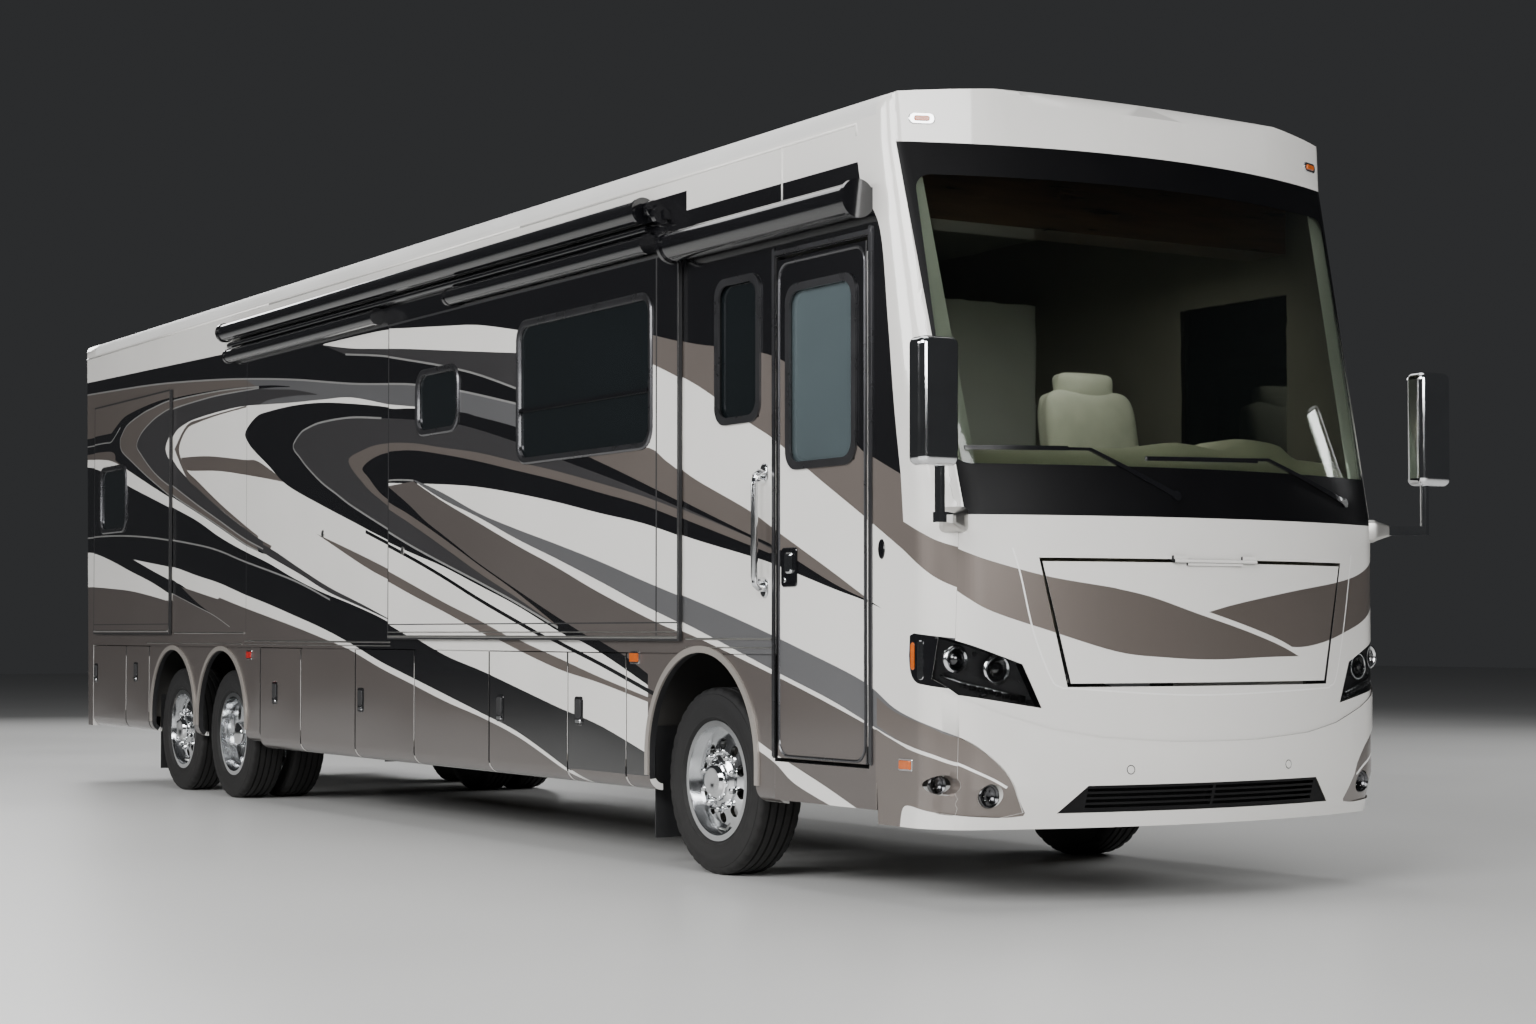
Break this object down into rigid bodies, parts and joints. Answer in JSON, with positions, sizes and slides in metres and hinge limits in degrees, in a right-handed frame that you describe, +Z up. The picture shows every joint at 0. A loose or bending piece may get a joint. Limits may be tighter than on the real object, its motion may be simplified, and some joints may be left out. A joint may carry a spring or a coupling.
{
  "type": "motorhome",
  "caption": "Long flat-fronted motorhome with slide-out rooms, basement bays, tandem rear axles and a steered front axle.",
  "frame": {"origin": "middle of the footprint on the ground under the tyres", "axes": "+Z up, -Y towards the front, -X towards the entry door side"},
  "size_m": [3.1, 12.783, 3.895],
  "materials": {
    "bay": "grey",
    "black_plastic": "matt",
    "bright": "bright",
    "cabinet": "dark stain",
    "chassis_paint": "semi-gloss black",
    "dash": "cream",
    "engine": "rough",
    "floor": "ply floor",
    "glass_clear": "clear",
    "glass_dark": "tinted",
    "lamp": "clear lens over chrome",
    "rim": "polished",
    "rubber": "matt",
    "seat": "cream",
    "steel": "grey",
    "tyre": "matt",
    "white_shell": "gloss gel-coat"
  },
  "bodies": {
    "body": {"air_conditioners": "white_shell", "awnings": "chassis_paint", "basement": "bay", "bright_trim": "bright", "cab_seats": "seat", "cabin_floor": "floor", "cabinets": "cabinet", "chassis_frame": "chassis_paint", "dashboard": "dash", "engine_block": "engine", "entry_steps": "black_plastic", "front_axle": "chassis_paint", "front_cap": "white_shell", "lamps": "lamp", "left_wall": "white_shell", "lower_grille": "black_plastic", "mirrors": "black_plastic", "mud_flaps": "rubber", "rear_axles": "chassis_paint", "rear_cap": "white_shell", "right_skirt": "white_shell", "left_skirt": "white_shell", "right_wall": "white_shell", "roof": "white_shell", "side_windows": "glass_dark", "windshield": "glass_clear", "wipers": "black_plastic"},
    "knuckle_right": {"knuckle_right": "steel"},
    "knuckle_left": {"knuckle_left": "steel"},
    "front_right_wheel": {"front_right_tyre": "tyre", "front_right_rim": "rim"},
    "front_left_wheel": {"front_left_tyre": "tyre", "front_left_rim": "rim"},
    "drive_right_wheel": {"drive_right_tyre": "tyre", "drive_right_rim": "rim"},
    "drive_left_wheel": {"drive_left_tyre": "tyre", "drive_left_rim": "rim"},
    "tag_right_wheel": {"tag_right_tyre": "tyre", "tag_right_rim": "rim"},
    "tag_left_wheel": {"tag_left_tyre": "tyre", "tag_left_rim": "rim"},
    "entry_door": {"entry_door": "white_shell", "entry_door_glass": "glass_dark"},
    "mid_slide": {"mid_slide": "white_shell", "mid_slide_glass": "glass_dark"},
    "rear_slide": {"rear_slide": "white_shell", "rear_slide_glass": "glass_dark"},
    "left_slide": {"left_slide": "white_shell", "left_slide_glass": "glass_dark"},
    "hood_panel": {"hood_panel": "white_shell"},
    "engine_door": {"engine_door": "white_shell"},
    "bay_door_left_1": {"bay_door_left_1": "white_shell"},
    "bay_door_left_2": {"bay_door_left_2": "white_shell"},
    "bay_door_left_3": {"bay_door_left_3": "white_shell"},
    "bay_door_right_1": {"bay_door_right_1": "white_shell"},
    "bay_door_right_2": {"bay_door_right_2": "white_shell"},
    "bay_door_right_3": {"bay_door_right_3": "white_shell"},
    "bay_door_right_4": {"bay_door_right_4": "white_shell"},
    "bay_door_right_5": {"bay_door_right_5": "white_shell"},
    "bay_door_right_6": {"bay_door_right_6": "white_shell"}
  },
  "joints": [
    {"name": "steer_right", "type": "hinge", "parent": "body", "child": "knuckle_right", "pos_m": [-0.905, -4.045, 0.465], "axis": [0, 0, 1], "range_deg": [-38, 38]},
    {"name": "steer_left", "type": "hinge", "parent": "body", "child": "knuckle_left", "pos_m": [0.905, -4.045, 0.465], "axis": [0, 0, 1], "range_deg": [-38, 38]},
    {"name": "front_right_wheel_spin", "type": "hinge", "parent": "knuckle_right", "child": "front_right_wheel", "pos_m": [-1.1055, -4.045, 0.465], "axis": [1, 0, 0], "continuous": true},
    {"name": "front_left_wheel_spin", "type": "hinge", "parent": "knuckle_left", "child": "front_left_wheel", "pos_m": [1.1055, -4.045, 0.465], "axis": [1, 0, 0], "continuous": true},
    {"name": "drive_right_wheel_spin", "type": "hinge", "parent": "body", "child": "drive_right_wheel", "pos_m": [-1.1055, 2.93, 0.465], "axis": [1, 0, 0], "continuous": true},
    {"name": "drive_left_wheel_spin", "type": "hinge", "parent": "body", "child": "drive_left_wheel", "pos_m": [1.1055, 2.93, 0.465], "axis": [1, 0, 0], "continuous": true},
    {"name": "tag_right_wheel_spin", "type": "hinge", "parent": "body", "child": "tag_right_wheel", "pos_m": [-1.1055, 4.05, 0.465], "axis": [1, 0, 0], "continuous": true},
    {"name": "tag_left_wheel_spin", "type": "hinge", "parent": "body", "child": "tag_left_wheel", "pos_m": [1.1055, 4.05, 0.465], "axis": [1, 0, 0], "continuous": true},
    {"name": "entry_door_hinge", "type": "hinge", "parent": "body", "child": "entry_door", "pos_m": [-1.3, -5.54, 1.8], "axis": [0, 0, 1], "range_deg": [0, 95]},
    {"name": "mid_slide_out", "type": "slide", "parent": "body", "child": "mid_slide", "axis": [-1, 0, 0], "range_m": [0, 0.62]},
    {"name": "rear_slide_out", "type": "slide", "parent": "body", "child": "rear_slide", "axis": [-1, 0, 0], "range_m": [0, 0.62]},
    {"name": "left_slide_out", "type": "slide", "parent": "body", "child": "left_slide", "axis": [1, 0, 0], "range_m": [0, 0.62]},
    {"name": "hood_hinge", "type": "hinge", "parent": "body", "child": "hood_panel", "pos_m": [0, -6.383, 1.52], "axis": [-1, 0, 0], "range_deg": [0, 70]},
    {"name": "engine_door_hinge", "type": "hinge", "parent": "body", "child": "engine_door", "pos_m": [0, 6.33113, 1.729], "axis": [1, 0, 0], "range_deg": [0, 80]},
    {"name": "bay_door_left_1_hinge", "type": "hinge", "parent": "body", "child": "bay_door_left_1", "pos_m": [1.3, 5.191, 0.8], "axis": [0, 0, -1], "range_deg": [0, 90]},
    {"name": "bay_door_left_2_hinge", "type": "hinge", "parent": "body", "child": "bay_door_left_2", "pos_m": [1.3, -0.528, 0.8], "axis": [0, 0, -1], "range_deg": [0, 90]},
    {"name": "bay_door_left_3_hinge", "type": "hinge", "parent": "body", "child": "bay_door_left_3", "pos_m": [1.3, -2.593, 0.8], "axis": [0, 0, -1], "range_deg": [0, 90]},
    {"name": "bay_door_right_1_hinge", "type": "hinge", "parent": "body", "child": "bay_door_right_1", "pos_m": [-1.3, 5.191, 0.8], "axis": [0, 0, 1], "range_deg": [0, 90]},
    {"name": "bay_door_right_2_hinge", "type": "hinge", "parent": "body", "child": "bay_door_right_2", "pos_m": [-1.3, 4.606, 0.8], "axis": [0, 0, 1], "range_deg": [0, 90]},
    {"name": "bay_door_right_3_hinge", "type": "hinge", "parent": "body", "child": "bay_door_right_3", "pos_m": [-1.3, 1.369, 0.8], "axis": [0, 0, 1], "range_deg": [0, 90]},
    {"name": "bay_door_right_4_hinge", "type": "hinge", "parent": "body", "child": "bay_door_right_4", "pos_m": [-1.3, -0.528, 0.8], "axis": [0, 0, 1], "range_deg": [0, 90]},
    {"name": "bay_door_right_5_hinge", "type": "hinge", "parent": "body", "child": "bay_door_right_5", "pos_m": [-1.3, -2.593, 0.8], "axis": [0, 0, 1], "range_deg": [0, 90]},
    {"name": "bay_door_right_6_hinge", "type": "hinge", "parent": "body", "child": "bay_door_right_6", "pos_m": [-1.3, -3.264, 0.8], "axis": [0, 0, 1], "range_deg": [0, 90]}
  ],
  "couplings": [
    {"joint": "steer_left", "follows": "steer_right", "ratio": 1}
  ]
}
